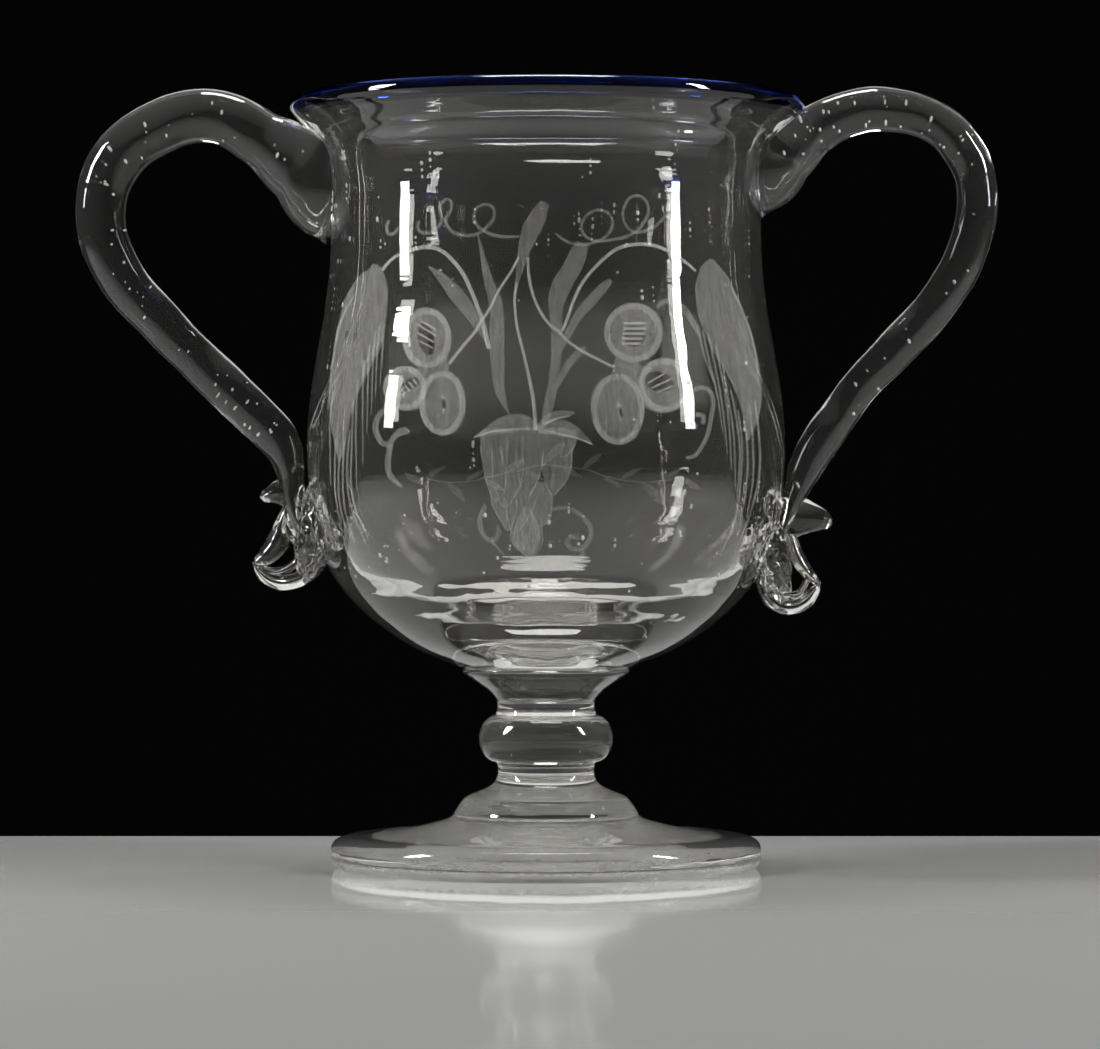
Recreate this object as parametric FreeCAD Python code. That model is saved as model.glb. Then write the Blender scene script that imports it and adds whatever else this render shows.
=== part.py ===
import FreeCAD, Part
import math
import os

# Two-handled glass cup on a knopped stem and a round foot, blown and built up from hot glass.
# Lengths are millimetres. The origin is the centre of the foot's rest plane, +Z points up,
# +X points to the right handle, and the cup is seen from the front along +Y.
# A name that ends in share or shares holds plain ratios of the sizes that they follow.

Vector = FreeCAD.Vector
ORIGIN = Vector(0, 0, 0)
UP = Vector(0, 0, 1)
ACROSS = Vector(0, 1, 0)

# Foot: a flat spun disc that rests on a ring, hollowed a little in the middle
foot_radius = 55.9
foot_height = 12.9
foot_edge_height = 7.6
foot_edge_bulge = 1.4
foot_widest_height = 4.2
foot_rest_width = 10.5
foot_hollow = 2.6
hollow_side_share = 0.75
foot_crown_radius = 25.4
foot_top_shares = [(0.10, 0.83), (0.33, 0.53), (0.72, 0.23)]

# Step on the foot: a small round tier with a sharp shoulder
tier_height = 7.7
tier_neck_radius = 16.0
tier_shoulder_radius = 21.3
tier_shoulder_drop = 2.4
tier_side_shares = [(0.29, 0.30), (0.54, 0.58)]

# Lower waist, knop and upper waist of the stem
lower_waist_height = 6.8
lower_waist_radius = 12.5
knop_height = 12.5
knop_radius = 17.4
knop_seat_radius = 13.0
upper_waist_height = 4.5
upper_waist_radius = 12.6
waist_share = 0.62

# Collar: the round disc under the bowl
collar_height = 7.9
collar_radius = 21.7
collar_edge_thickness = 2.1
collar_edge_inset = 0.9
collar_foot_radius = 13.4
collar_cone_shares = [(0.45, 0.41), (0.81, 0.74)]

# Bowl: round below, drawn in at the throat and flared at the lip
bowl_height = 143.25
bowl_base_radius = 22.6
belly_radius = 62.1
belly_rise = 52.7
throat_radius = 55.9
flare_height = 28.5
lip_radius = 66.05
lip_wall = 2.5
bowl_wall = 2.8
bowl_floor = 8.6
bowl_heel_wall = 8.4
floor_shares = [(0.66, 0.44), (0.33, 0.11), (0.0, 0.0)]
under_belly_shares = [
    (0.12, 0.034), (0.296, 0.093), (0.484, 0.184), (0.663, 0.298), (0.825, 0.444), (0.935, 0.64)]
over_belly_shares = [(0.08, 0.226), (0.37, 0.435), (0.76, 0.661), (0.94, 0.82)]
flare_shares = [(0.02, 0.43), (0.17, 0.71), (0.45, 0.83)]

# Thread: the coloured bead trailed round the lip
thread_radius = 2.4

# Both handles
strap_rounding = 1.4
pad_sink = 4.0
pad_middle_share = 0.55
pad_narrowing_share = 0.75
cut_overrun = 20.0
seal_side_angle = 12.5
seal_rounding = 2.0
arm_ovals = 26

# Left handle
left_reach = 115.8
left_rod = 12.0
left_top_drop = 0.25
left_neck_drop = 2.0
left_neck_thickness = 7.7
left_neck_clear = 0.6
left_strap_width = 12.6
left_curl_width = 14.5
left_curl_drop = 30.7
left_pinch_width = 9.6
left_pinch_thickness = 4.4
left_pad_height = 34.0
left_pad_width = 21.0
left_seal_proud = 3.2
left_path_shares = [
    (0.16, 0.935, 1.25), (0.411, 1.0, 1.17), (0.737, 0.959, 1.18), (0.931, 0.866, 1.17),
    (1.0, 0.732, 1.1), (0.912, 0.562, 1.03), (0.699, 0.419, 1.0), (0.542, 0.328, 0.95),
    (0.373, 0.233, 0.98), (0.254, 0.166, 0.95), (0.152, 0.104, 0.92), (0.097, 0.048, 0.78)]
left_curl_shares = [
    (0.586, 0.098), (0.50, 0.244), (0.41, 0.329), (0.58, 0.466), (0.65, 0.60), (0.90, 0.70),
    (1.0, 0.765), (0.952, 0.84), (0.793, 0.919), (0.56, 0.985), (0.331, 1.0), (0.09, 0.958),
    (-0.131, 0.886), (-0.269, 0.788), (-0.241, 0.684), (-0.131, 0.586), (-0.041, 0.423), (0.028, 0.182)]
left_hole_shares = [(0.25, 0.66), (0.27, 0.75), (0.37, 0.79), (0.51, 0.815), (0.38, 0.72)]
left_pinch_shares = [
    (0.28, 0.20, 1.5, 1.0), (0.53, 0.202, 1.1, 1.0), (0.70, 0.205, 0.98, 0.88), (0.80, 0.209, 0.7, 0.6)]
left_pinch_tip_share = (0.845, 0.212)
left_seal_shares = [
    (0.83, 0.62), (0.717, 1.0), (0.554, 1.0), (0.391, 0.94), (0.195, 0.78), (0.06, 0.47), (-0.08, 0.0)]

# Right handle
right_reach = 112.0
right_rod = 10.6
right_top_drop = -1.75
right_neck_drop = 7.0
right_neck_thickness = 6.4
right_neck_clear = -0.3
right_strap_width = 11.6
right_curl_width = 9.5
right_curl_drop = 32.6
right_pinch_width = 9.2
right_pinch_thickness = 6.2
right_pad_height = 30.0
right_pad_width = 19.0
right_seal_proud = 2.6
right_path_shares = [
    (0.088, 0.946, 1.23), (0.268, 0.986, 1.15), (0.458, 1.0, 1.11), (0.788, 0.959, 1.02),
    (0.933, 0.885, 1.04), (1.0, 0.79, 1.01), (0.949, 0.632, 1.01), (0.821, 0.514, 1.01),
    (0.566, 0.372, 1.02), (0.378, 0.273, 0.92), (0.283, 0.208, 0.92), (0.21, 0.154, 0.95),
    (0.134, 0.092, 0.9), (0.077, 0.04, 0.74)]
right_curl_shares = [
    (0.621, 0.083), (0.50, 0.245), (0.33, 0.405), (0.49, 0.525), (0.56, 0.629), (0.72, 0.70),
    (0.92, 0.728), (1.0, 0.765), (0.937, 0.84), (0.768, 0.896), (0.474, 0.966), (0.116, 1.0),
    (-0.232, 0.982), (-0.558, 0.929), (-0.8, 0.862), (-0.895, 0.785), (-0.81, 0.675), (-0.589, 0.552),
    (-0.263, 0.307)]
right_hole_shares = [(-0.03, 0.675), (0.24, 0.724), (0.38, 0.765), (0.30, 0.80), (0.08, 0.80), (-0.06, 0.77)]
right_pinch_shares = [
    (0.28, 0.20, 1.5, 1.0), (0.72, 0.228, 1.15, 1.0), (1.02, 0.25, 0.95, 0.88), (1.2, 0.265, 0.62, 0.6)]
right_pinch_tip_share = (1.275, 0.272)
right_seal_shares = [
    (0.844, 0.42), (0.752, 0.77), (0.613, 0.92), (0.445, 1.0), (0.245, 1.0), (0.092, 0.92),
    (-0.046, 0.54), (-0.153, 0.04)]

# Heights where the stacked pieces meet
tier_base = foot_height
lower_waist_base = tier_base + tier_height
knop_base = lower_waist_base + lower_waist_height
upper_waist_base = knop_base + knop_height
collar_base = upper_waist_base + upper_waist_height
bowl_base = collar_base + collar_height
lip_height = bowl_base + bowl_height
belly_height = bowl_base + belly_rise
throat_height = lip_height - flare_height


def between(start, end, share):
    return start + share * (end - start)


def at(radius, height):
    return Vector(radius, 0, height)


def line(start, end):
    return Part.makeLine(start, end)


def arc(start, middle, end):
    return Part.Arc(start, middle, end).toShape()


def curve(points):
    spline = Part.BSplineCurve()
    spline.interpolate(points)
    return spline


def closed_curve(points):
    spline = Part.BSplineCurve()
    spline.interpolate(points, PeriodicFlag=True)
    return spline


def face_of(edges):
    return Part.Face(Part.Wire(Part.__sortEdges__(edges)))


def turned(edges):
    return face_of(edges).revolve(ORIGIN, UP, 360)


def waist(base, height, seat_radius, thin_radius, head_radius):
    """A short spool between two flat discs."""
    low = at(seat_radius, base)
    thin = at(thin_radius, base + height * waist_share)
    high = at(head_radius, base + height)
    outline = curve([low, thin, high]).toShape()
    foot_line = line(at(0, base), low)
    head_line = line(high, at(0, base + height))
    axis = line(at(0, base + height), at(0, base))
    return turned([foot_line, outline, head_line, axis])


def foot_disc():
    edge_radius = foot_radius - foot_edge_bulge
    outer_rest = at(edge_radius, 0)
    inner_rest = at(edge_radius - foot_rest_width, 0)
    edge_top = at(edge_radius, foot_edge_height)
    crown = at(foot_crown_radius, foot_height)
    top_points = [crown]
    for out_share, up_share in foot_top_shares:
        radius = between(foot_crown_radius, edge_radius, out_share)
        height = between(foot_edge_height, foot_height, up_share)
        top_points.append(at(radius, height))
    top_points.append(edge_top)
    hollow_top = at(0, foot_hollow)
    hollow_side = at(inner_rest.x / 2, foot_hollow * hollow_side_share)
    edges = [
        line(outer_rest, inner_rest),
        curve([inner_rest, hollow_side, hollow_top]).toShape(),
        line(hollow_top, at(0, foot_height)),
        line(at(0, foot_height), crown),
        curve(top_points).toShape(),
        arc(edge_top, at(foot_radius, foot_widest_height), outer_rest),
    ]
    return turned(edges)


def foot_tier():
    shoulder_height = lower_waist_base - tier_shoulder_drop
    neck = at(tier_neck_radius, lower_waist_base)
    shoulder = at(tier_shoulder_radius, shoulder_height)
    side_points = [shoulder]
    for out_share, down_share in tier_side_shares:
        radius = between(tier_shoulder_radius, foot_crown_radius, out_share)
        height = between(shoulder_height, tier_base, down_share)
        side_points.append(at(radius, height))
    foot_point = at(foot_crown_radius, tier_base)
    side_points.append(foot_point)
    edges = [
        line(at(0, tier_base), foot_point),
        curve(side_points).toShape(),
        line(shoulder, neck),
        line(neck, at(0, lower_waist_base)),
        line(at(0, lower_waist_base), at(0, tier_base)),
    ]
    return turned(edges)


def stem_knop():
    low = at(knop_seat_radius, knop_base)
    high = at(knop_seat_radius, upper_waist_base)
    widest = at(knop_radius, (knop_base + upper_waist_base) / 2)
    edges = [
        line(at(0, knop_base), low),
        arc(low, widest, high),
        line(high, at(0, upper_waist_base)),
        line(at(0, upper_waist_base), at(0, knop_base)),
    ]
    return turned(edges)


def bowl_collar():
    edge_foot_height = bowl_base - collar_edge_thickness
    edge_radius = collar_radius - collar_edge_inset
    edge_top = at(edge_radius, bowl_base)
    edge_middle = at(collar_radius, bowl_base - collar_edge_thickness / 2)
    edge_foot = at(edge_radius, edge_foot_height)
    foot_point = at(collar_foot_radius, collar_base)
    cone_points = [edge_foot]
    for in_share, down_share in collar_cone_shares:
        radius = between(edge_radius, collar_foot_radius, in_share)
        height = between(edge_foot_height, collar_base, down_share)
        cone_points.append(at(radius, height))
    cone_points.append(foot_point)
    edges = [
        line(at(0, collar_base), foot_point),
        curve(cone_points).toShape(),
        arc(edge_foot, edge_middle, edge_top),
        line(edge_top, at(0, bowl_base)),
        line(at(0, bowl_base), at(0, collar_base)),
    ]
    return turned(edges)


def bowl_outline_points():
    points = [at(bowl_base_radius, bowl_base)]
    for out_share, up_share in under_belly_shares:
        radius = between(bowl_base_radius, belly_radius, out_share)
        points.append(at(radius, between(bowl_base, belly_height, up_share)))
    points.append(at(belly_radius, belly_height))
    for in_share, up_share in over_belly_shares:
        radius = between(belly_radius, throat_radius, in_share)
        points.append(at(radius, between(belly_height, throat_height, up_share)))
    points.append(at(throat_radius, throat_height))
    for out_share, up_share in flare_shares:
        radius = between(throat_radius, lip_radius, out_share)
        points.append(at(radius, between(throat_height, lip_height, up_share)))
    points.append(at(lip_radius, lip_height))
    return points


def wall_at(height):
    """The wall thickens below the belly, where the glass gathered."""
    below_share = max(0.0, (belly_height - height) / belly_rise)
    return between(bowl_wall, bowl_heel_wall, below_share ** 2)


def bowl_inside(outline):
    """Lip to floor: the wall's thickness inside the outline, then a shallow dish."""
    points = [at(lip_radius - lip_wall, lip_height)]
    for outer_point in reversed(bowl_outline_points()[2:-1]):
        along = outline.tangent(outline.parameter(outer_point))[0]
        inward = Vector(-along.z, 0, along.x)
        points.append(outer_point + inward * wall_at(outer_point.z))
    heel = points[-1]
    floor_height = bowl_base + bowl_floor
    for out_share, up_share in floor_shares:
        points.append(at(heel.x * out_share, between(floor_height, heel.z, up_share)))
    return curve(points).toShape()


def bowl():
    outline = curve(bowl_outline_points())
    lip = at(lip_radius, lip_height)
    inner_lip = at(lip_radius - lip_wall, lip_height)
    floor_centre = at(0, bowl_base + bowl_floor)
    edges = [
        line(at(0, bowl_base), at(bowl_base_radius, bowl_base)),
        outline.toShape(),
        line(lip, inner_lip),
        bowl_inside(outline),
        line(floor_centre, at(0, bowl_base)),
    ]
    return turned(edges)


def filled_bowl():
    """The bowl with its hollow filled, to cut what is stuck on outside."""
    edges = [
        line(at(0, bowl_base), at(bowl_base_radius, bowl_base)),
        curve(bowl_outline_points()).toShape(),
        line(at(lip_radius, lip_height), at(0, lip_height)),
        line(at(0, lip_height), at(0, bowl_base)),
    ]
    return turned(edges)


def thread_edges():
    half_seat = lip_wall / 2
    centre_radius = lip_radius - half_seat
    centre_rise = math.sqrt(thread_radius ** 2 - half_seat ** 2)
    top = at(centre_radius, lip_height + centre_rise + thread_radius)
    outer = at(lip_radius, lip_height)
    inner = at(lip_radius - lip_wall, lip_height)
    return [arc(inner, top, outer), line(outer, inner)]


def rim_thread():
    return turned(thread_edges())


def section(centre, along, thickness, width):
    """An oval wire square to the rod, width across the cup's depth."""
    wide = max(width, thickness)
    narrow = min(width, thickness)
    oval = Part.Ellipse(ORIGIN, wide / 2, narrow / 2).toShape()
    long_axis = ACROSS if width >= thickness else along.cross(ACROSS)
    turn = FreeCAD.Rotation(long_axis, along.cross(long_axis), along, "ZXY")
    oval.Placement = FreeCAD.Placement(centre, turn)
    return Part.Wire([oval])


def handle_centres(side):
    """Middle line of the rod from the top of its pad to the neck, and the thickness there."""
    neck_height = belly_height - side["neck_drop"]
    top_height = lip_height - side["top_drop"]
    centres = []
    for out_share, up_share, thick_share in side["path_shares"]:
        near = between(belly_radius, lip_radius, up_share)
        reach = between(near, side["reach"], out_share)
        height = between(neck_height, top_height, up_share)
        centres.append((Vector(side["sign"] * reach, 0, height), side["rod"] * thick_share))
    neck_radius = belly_radius + side["neck_thickness"] / 2 + side["neck_clear"]
    centres.append((Vector(side["sign"] * neck_radius, 0, neck_height), side["neck_thickness"]))
    return centres


def handle_arm(side):
    """The rod, drawn as ovals that stand evenly along its middle line."""
    centres = handle_centres(side)
    path = curve([centre for centre, thickness in centres])
    places = [path.parameter(centre) for centre, thickness in centres]
    last = len(places) - 1
    sections = []
    for centre in path.discretize(Number=arm_ovals)[:-1]:
        place = path.parameter(centre)
        later = next(index for index in range(1, len(places)) if place <= places[index] or index == last)
        share = (place - places[later - 1]) / (places[later] - places[later - 1])
        thickness = between(centres[later - 1][1], centres[later][1], share)
        spread_share = share if later == last else 0.0
        width = between(thickness, side["strap_width"], spread_share)
        sections.append(section(centre, path.tangent(place)[0], thickness, width))
    neck, neck_thickness = centres[last]
    sections.append(section(neck, UP.negative(), neck_thickness, side["strap_width"]))
    return Part.makeLoft(sections, True), sections[0]


def handle_pad(side, arm_section):
    """The flared end of the rod, pressed on the throat under the lip."""
    centres = handle_centres(side)
    start, thickness = centres[0]
    outward = Vector(side["sign"], 0, 0)
    wall_radius = throat_radius - pad_sink
    pad_top = lip_height - side["top_drop"]
    pad_centre = Vector(side["sign"] * wall_radius, 0, pad_top - side["pad_height"] / 2)
    middle = between(pad_centre, start, pad_middle_share)
    lean = (outward + (centres[1][0] - start).normalize()).normalize()
    middle_thickness = between(side["pad_height"], thickness, pad_narrowing_share)
    middle_width = between(side["pad_width"], thickness, pad_narrowing_share)
    sections = [
        section(pad_centre, outward, side["pad_height"], side["pad_width"]),
        section(middle, lean, middle_thickness, middle_width),
        arm_section,
    ]
    return Part.makeLoft(sections, True)


def neck_foot(side):
    """Where the neck's height meets the belly's widest line; the curl is drawn from here."""
    return Vector(side["sign"] * belly_radius, 0, belly_height - side["neck_drop"])


def curl_offset(side, out_share, down_share):
    return Vector(side["sign"] * out_share * side["curl_width"], 0, -down_share * side["curl_drop"])


def slab(face, width):
    """A flat outline given its width across the cup, half to the front and half to the back."""
    body = face.extrude(ACROSS * width)
    body.translate(ACROSS * (-width / 2))
    return body


def softened(body, width):
    """Rounds the long edges that fire-polishing softened on the front and the back."""
    rims = []
    for edge in body.Edges:
        if abs(abs(edge.CenterOfMass.y) - width / 2) < strap_rounding / 10:
            rims.append(edge)
    return body.makeFillet(strap_rounding, rims)


def handle_curl(side):
    """The strap below the neck, curled out and up, with the eye in its curl."""
    start = Vector(side["sign"] * (side["neck_clear"] + side["neck_thickness"]), 0, 0)
    end = Vector(side["sign"] * side["neck_clear"], 0, 0)
    curl_points = [curl_offset(side, *shares) for shares in side["curl_shares"]]
    eye_points = [curl_offset(side, *shares) for shares in side["hole_shares"]]
    outline = curve([start] + curl_points + [end])
    body = slab(face_of([outline.toShape(), line(end, start)]), side["strap_width"])
    body = softened(body, side["strap_width"])
    eye_face = Part.Face(Part.Wire([closed_curve(eye_points).toShape()]))
    body = body.cut(slab(eye_face, side["strap_width"] + cut_overrun))
    body.translate(neck_foot(side))
    return body


def thumb_pinch(side):
    """The tongue that was nipped out of the strap with tongs."""
    tip = neck_foot(side) + curl_offset(side, *side["pinch_tip_share"])
    sections = []
    for out_share, down_share, thick_share, wide_share in side["pinch_shares"]:
        centre = neck_foot(side) + curl_offset(side, out_share, down_share)
        along = (tip - centre).normalize()
        thickness = side["pinch_thickness"] * thick_share
        sections.append(section(centre, along, thickness, side["pinch_width"] * wide_share))
    return Part.makeLoft(sections + [Part.Vertex(tip)], True)


def wall_radius(height):
    """The bowl's outer radius at a height, taken straight between the points of its outline."""
    points = bowl_outline_points()
    later = next(index for index, point in enumerate(points) if point.z >= height)
    low = points[later - 1]
    high = points[later]
    return between(low.x, high.x, (height - low.z) / (high.z - low.z))


def lower_seal(side):
    """The crinkled patch that holds the strap to the wall."""
    points = []
    for down_share, proud_share in side["seal_shares"]:
        height = belly_height - side["neck_drop"] - down_share * side["curl_drop"]
        radius = wall_radius(height) + proud_share * side["seal_proud"]
        points.append(Vector(side["sign"] * radius, 0, height))
    inner_x = side["sign"] * (bowl_base_radius + cut_overrun)
    inner_low = Vector(inner_x, 0, points[0].z)
    inner_high = Vector(inner_x, 0, points[-1].z)
    edges = [
        curve(points).toShape(),
        line(points[-1], inner_high),
        line(inner_high, inner_low),
        line(inner_low, points[0]),
    ]
    face = face_of(edges)
    face.rotate(ORIGIN, UP, -seal_side_angle)
    patch = face.revolve(ORIGIN, UP, 2 * seal_side_angle)
    rims = [edge for edge in patch.Edges if isinstance(edge.Curve, Part.BSplineCurve)]
    return patch.makeFillet(seal_rounding, rims)


def largest(shape):
    """The one solid that is the piece, where a cut also left a sliver."""
    return max(shape.Solids, key=lambda solid: solid.Volume)


left_side = {
    "sign": -1,
    "reach": left_reach,
    "rod": left_rod,
    "top_drop": left_top_drop,
    "neck_drop": left_neck_drop,
    "neck_thickness": left_neck_thickness,
    "neck_clear": left_neck_clear,
    "strap_width": left_strap_width,
    "curl_width": left_curl_width,
    "curl_drop": left_curl_drop,
    "pinch_width": left_pinch_width,
    "pinch_thickness": left_pinch_thickness,
    "pad_height": left_pad_height,
    "pad_width": left_pad_width,
    "seal_proud": left_seal_proud,
    "path_shares": left_path_shares,
    "curl_shares": left_curl_shares,
    "hole_shares": left_hole_shares,
    "pinch_shares": left_pinch_shares,
    "pinch_tip_share": left_pinch_tip_share,
    "seal_shares": left_seal_shares,
}
right_side = {
    "sign": 1,
    "reach": right_reach,
    "rod": right_rod,
    "top_drop": right_top_drop,
    "neck_drop": right_neck_drop,
    "neck_thickness": right_neck_thickness,
    "neck_clear": right_neck_clear,
    "strap_width": right_strap_width,
    "curl_width": right_curl_width,
    "curl_drop": right_curl_drop,
    "pinch_width": right_pinch_width,
    "pinch_thickness": right_pinch_thickness,
    "pad_height": right_pad_height,
    "pad_width": right_pad_width,
    "seal_proud": right_seal_proud,
    "path_shares": right_path_shares,
    "curl_shares": right_curl_shares,
    "hole_shares": right_hole_shares,
    "pinch_shares": right_pinch_shares,
    "pinch_tip_share": right_pinch_tip_share,
    "seal_shares": right_seal_shares,
}


def handle(name, side, bowl_block, thread):
    """One handle in its pieces, each cut back to what it is stuck on."""
    arm, arm_section = handle_arm(side)
    pad = handle_pad(side, arm_section)
    curl = handle_curl(side)
    pinch = thumb_pinch(side)
    seal = largest(lower_seal(side).cut(bowl_block))
    arm = largest(arm.cut(bowl_block).cut(thread).cut(seal))
    pad = largest(pad.cut(bowl_block).cut(thread))
    curl = largest(curl.cut(bowl_block).cut(seal))
    pinch = largest(pinch.cut(curl).cut(arm).cut(seal))
    return {
        name + "_handle_pad": pad,
        name + "_handle_arm": arm,
        name + "_thumb_pinch": pinch,
        name + "_handle_curl": curl,
        name + "_lower_seal": seal,
    }


lower_waist = waist(
    lower_waist_base, lower_waist_height, tier_neck_radius, lower_waist_radius, knop_seat_radius)
upper_waist = waist(
    upper_waist_base, upper_waist_height, knop_seat_radius, upper_waist_radius, collar_foot_radius)
pieces = {
    "foot_disc": foot_disc(),
    "foot_tier": foot_tier(),
    "stem_lower_waist": lower_waist,
    "stem_knop": stem_knop(),
    "stem_upper_waist": upper_waist,
    "bowl_collar": bowl_collar(),
    "bowl": bowl(),
    "rim_thread": rim_thread(),
}
block = filled_bowl()
pieces.update(handle("left", left_side, block, pieces["rim_thread"]))
pieces.update(handle("right", right_side, block, pieces["rim_thread"]))

os.makedirs("parts", exist_ok=True)
for node, shape in pieces.items():
    shape.exportStep("parts/" + node + ".step")
    print(node, shape.isValid(), len(shape.Solids), round(shape.Volume), shape.BoundBox)
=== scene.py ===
import math
import random
import bpy
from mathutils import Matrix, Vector, noise


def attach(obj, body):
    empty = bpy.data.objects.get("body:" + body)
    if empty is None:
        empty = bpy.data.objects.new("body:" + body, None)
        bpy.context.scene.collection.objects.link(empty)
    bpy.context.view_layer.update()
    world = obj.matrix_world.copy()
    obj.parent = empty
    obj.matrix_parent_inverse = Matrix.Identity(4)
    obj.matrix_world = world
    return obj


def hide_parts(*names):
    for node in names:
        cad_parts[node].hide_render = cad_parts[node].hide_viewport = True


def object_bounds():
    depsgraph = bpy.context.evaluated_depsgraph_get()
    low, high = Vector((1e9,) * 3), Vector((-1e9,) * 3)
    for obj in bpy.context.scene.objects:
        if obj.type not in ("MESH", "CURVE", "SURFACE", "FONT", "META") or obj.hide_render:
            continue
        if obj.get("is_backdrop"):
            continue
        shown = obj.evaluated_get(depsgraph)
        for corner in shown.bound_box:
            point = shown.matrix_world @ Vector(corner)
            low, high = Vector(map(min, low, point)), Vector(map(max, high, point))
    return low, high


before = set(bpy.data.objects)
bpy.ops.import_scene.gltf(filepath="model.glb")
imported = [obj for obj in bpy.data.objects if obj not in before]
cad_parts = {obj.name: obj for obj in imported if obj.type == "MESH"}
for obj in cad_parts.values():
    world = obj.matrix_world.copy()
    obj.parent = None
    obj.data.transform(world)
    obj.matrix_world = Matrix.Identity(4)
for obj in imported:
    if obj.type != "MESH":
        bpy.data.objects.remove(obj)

cad_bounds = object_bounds()

# Foot: a thick disc of clear glass, spun out hot and fire polished, that rests on its rim.
# It is turned from one smooth outline. Where it is fused to the tier above it, its open ring
# gets a face that light goes through unbent, so that the cup reads as one body of glass.
mm = 0.001
weld = mm / 1000
turn_steps = 192


def pick_only(piece):
    if bpy.context.object and bpy.context.object.mode != "OBJECT":
        bpy.ops.object.mode_set(mode="OBJECT")
    bpy.ops.object.select_all(action="DESELECT")
    if piece:
        piece.select_set(True)
        bpy.context.view_layer.objects.active = piece


def drawn_line(name, points, fineness):
    """A smooth line through (x, height) points in millimetres. A third value marks a corner."""
    pick_only(None)
    bpy.ops.curve.primitive_bezier_curve_add(radius=mm, location=(0, 0, 0))
    line = bpy.context.object
    line.name = name
    knots = line.data.splines[0].bezier_points
    knots.add(len(points) - len(knots))
    for knot, (x, height, *corner) in zip(knots, points):
        knot.co = (x * mm, 0, height * mm)
        knot.handle_left_type = "VECTOR" if corner else "AUTO"
        knot.handle_right_type = "VECTOR" if corner else "AUTO"
    line.data.resolution_u = fineness
    bpy.ops.object.convert(target="MESH")
    return bpy.context.object


def turned(name, points, fineness=10):
    """Glass turned round the cup's axis from its outline."""
    piece = drawn_line(name, points, fineness)
    pick_only(piece)
    bpy.ops.object.mode_set(mode="EDIT")
    bpy.ops.mesh.select_all(action="SELECT")
    bpy.ops.mesh.spin(steps=turn_steps, angle=math.tau, center=(0, 0, 0), axis=(0, 0, 1))
    bpy.ops.mesh.select_all(action="SELECT")
    bpy.ops.mesh.remove_doubles(threshold=weld)
    bpy.ops.object.mode_set(mode="OBJECT")
    return piece


def pick_open_edges(piece):
    """Opens a piece in edit mode with its open edges picked, and nothing else."""
    pick_only(piece)
    bpy.ops.object.mode_set(mode="EDIT")
    bpy.ops.mesh.select_mode(type="EDGE")
    bpy.ops.mesh.select_all(action="DESELECT")
    bpy.ops.mesh.select_non_manifold(
        use_wire=False, use_multi_face=False, use_non_contiguous=False, use_verts=False)


def face_outwards(piece):
    pick_only(piece)
    bpy.ops.object.mode_set(mode="EDIT")
    bpy.ops.mesh.select_all(action="SELECT")
    bpy.ops.mesh.normals_make_consistent(inside=False)
    bpy.ops.object.mode_set(mode="OBJECT")


def close_rings(piece, finish=None):
    """Fills each open ring. A finish, where one is given, goes on the new faces alone."""
    if finish and finish.name not in piece.data.materials:
        piece.data.materials.append(finish)
    pick_open_edges(piece)
    bpy.ops.mesh.fill_holes(sides=0)
    if finish:
        piece.active_material_index = piece.data.materials.find(finish.name)
        bpy.ops.object.material_slot_assign()
    pick_open_edges(piece)
    if piece.data.total_edge_sel:
        bpy.ops.mesh.fill()
        if finish:
            bpy.ops.object.material_slot_assign()
    face_outwards(piece)


def close_joints(piece):
    """Fills each open ring with the unseen face of a fused joint."""
    close_rings(piece, fused_joint)


def fire_polish(piece, angle=35):
    pick_only(piece)
    bpy.ops.object.shade_smooth_by_angle(angle=math.radians(angle))


def new_material(name):
    material = bpy.data.materials.new(name)
    material.use_nodes = True
    nodes = material.node_tree.nodes
    return material, nodes, material.node_tree.links, nodes["Principled BSDF"]


fused_joint, nodes, links, shader = new_material("fused_joint")
shader.inputs["Alpha"].default_value = 0.0

hand_ripple = bpy.data.node_groups.new("hand_ripple", "ShaderNodeTree")
hand_ripple.interface.new_socket("Size", in_out="INPUT", socket_type="NodeSocketFloat")
hand_ripple.interface.new_socket("Rings", in_out="INPUT", socket_type="NodeSocketFloat")
hand_ripple.interface.new_socket("Height", in_out="OUTPUT", socket_type="NodeSocketFloat")
nodes, links = hand_ripple.nodes, hand_ripple.links
ripple_in = nodes.new("NodeGroupInput")
ripple_out = nodes.new("NodeGroupOutput")
place = nodes.new("ShaderNodeTexCoord")
swell = nodes.new("ShaderNodeTexNoise")
swell.inputs["Detail"].default_value = 2.0
tool_rings = nodes.new("ShaderNodeTexWave")
tool_rings.bands_direction = "Z"
tool_rings.inputs["Scale"].default_value = 190
tool_rings.inputs["Distortion"].default_value = 2.5
tool_rings.inputs["Detail"].default_value = 2.0
tool_rings.inputs["Detail Scale"].default_value = 0.4
ring_depth = nodes.new("ShaderNodeMath")
ring_depth.operation = "MULTIPLY"
both = nodes.new("ShaderNodeMath")
both.operation = "ADD"
links.new(place.outputs["Object"], swell.inputs["Vector"])
links.new(place.outputs["Object"], tool_rings.inputs["Vector"])
links.new(ripple_in.outputs["Size"], swell.inputs["Scale"])
links.new(tool_rings.outputs["Fac"], ring_depth.inputs[0])
links.new(ripple_in.outputs["Rings"], ring_depth.inputs[1])
links.new(swell.outputs["Fac"], both.inputs[0])
links.new(ring_depth.outputs["Value"], both.inputs[1])
links.new(both.outputs["Value"], ripple_out.inputs["Height"])


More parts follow.
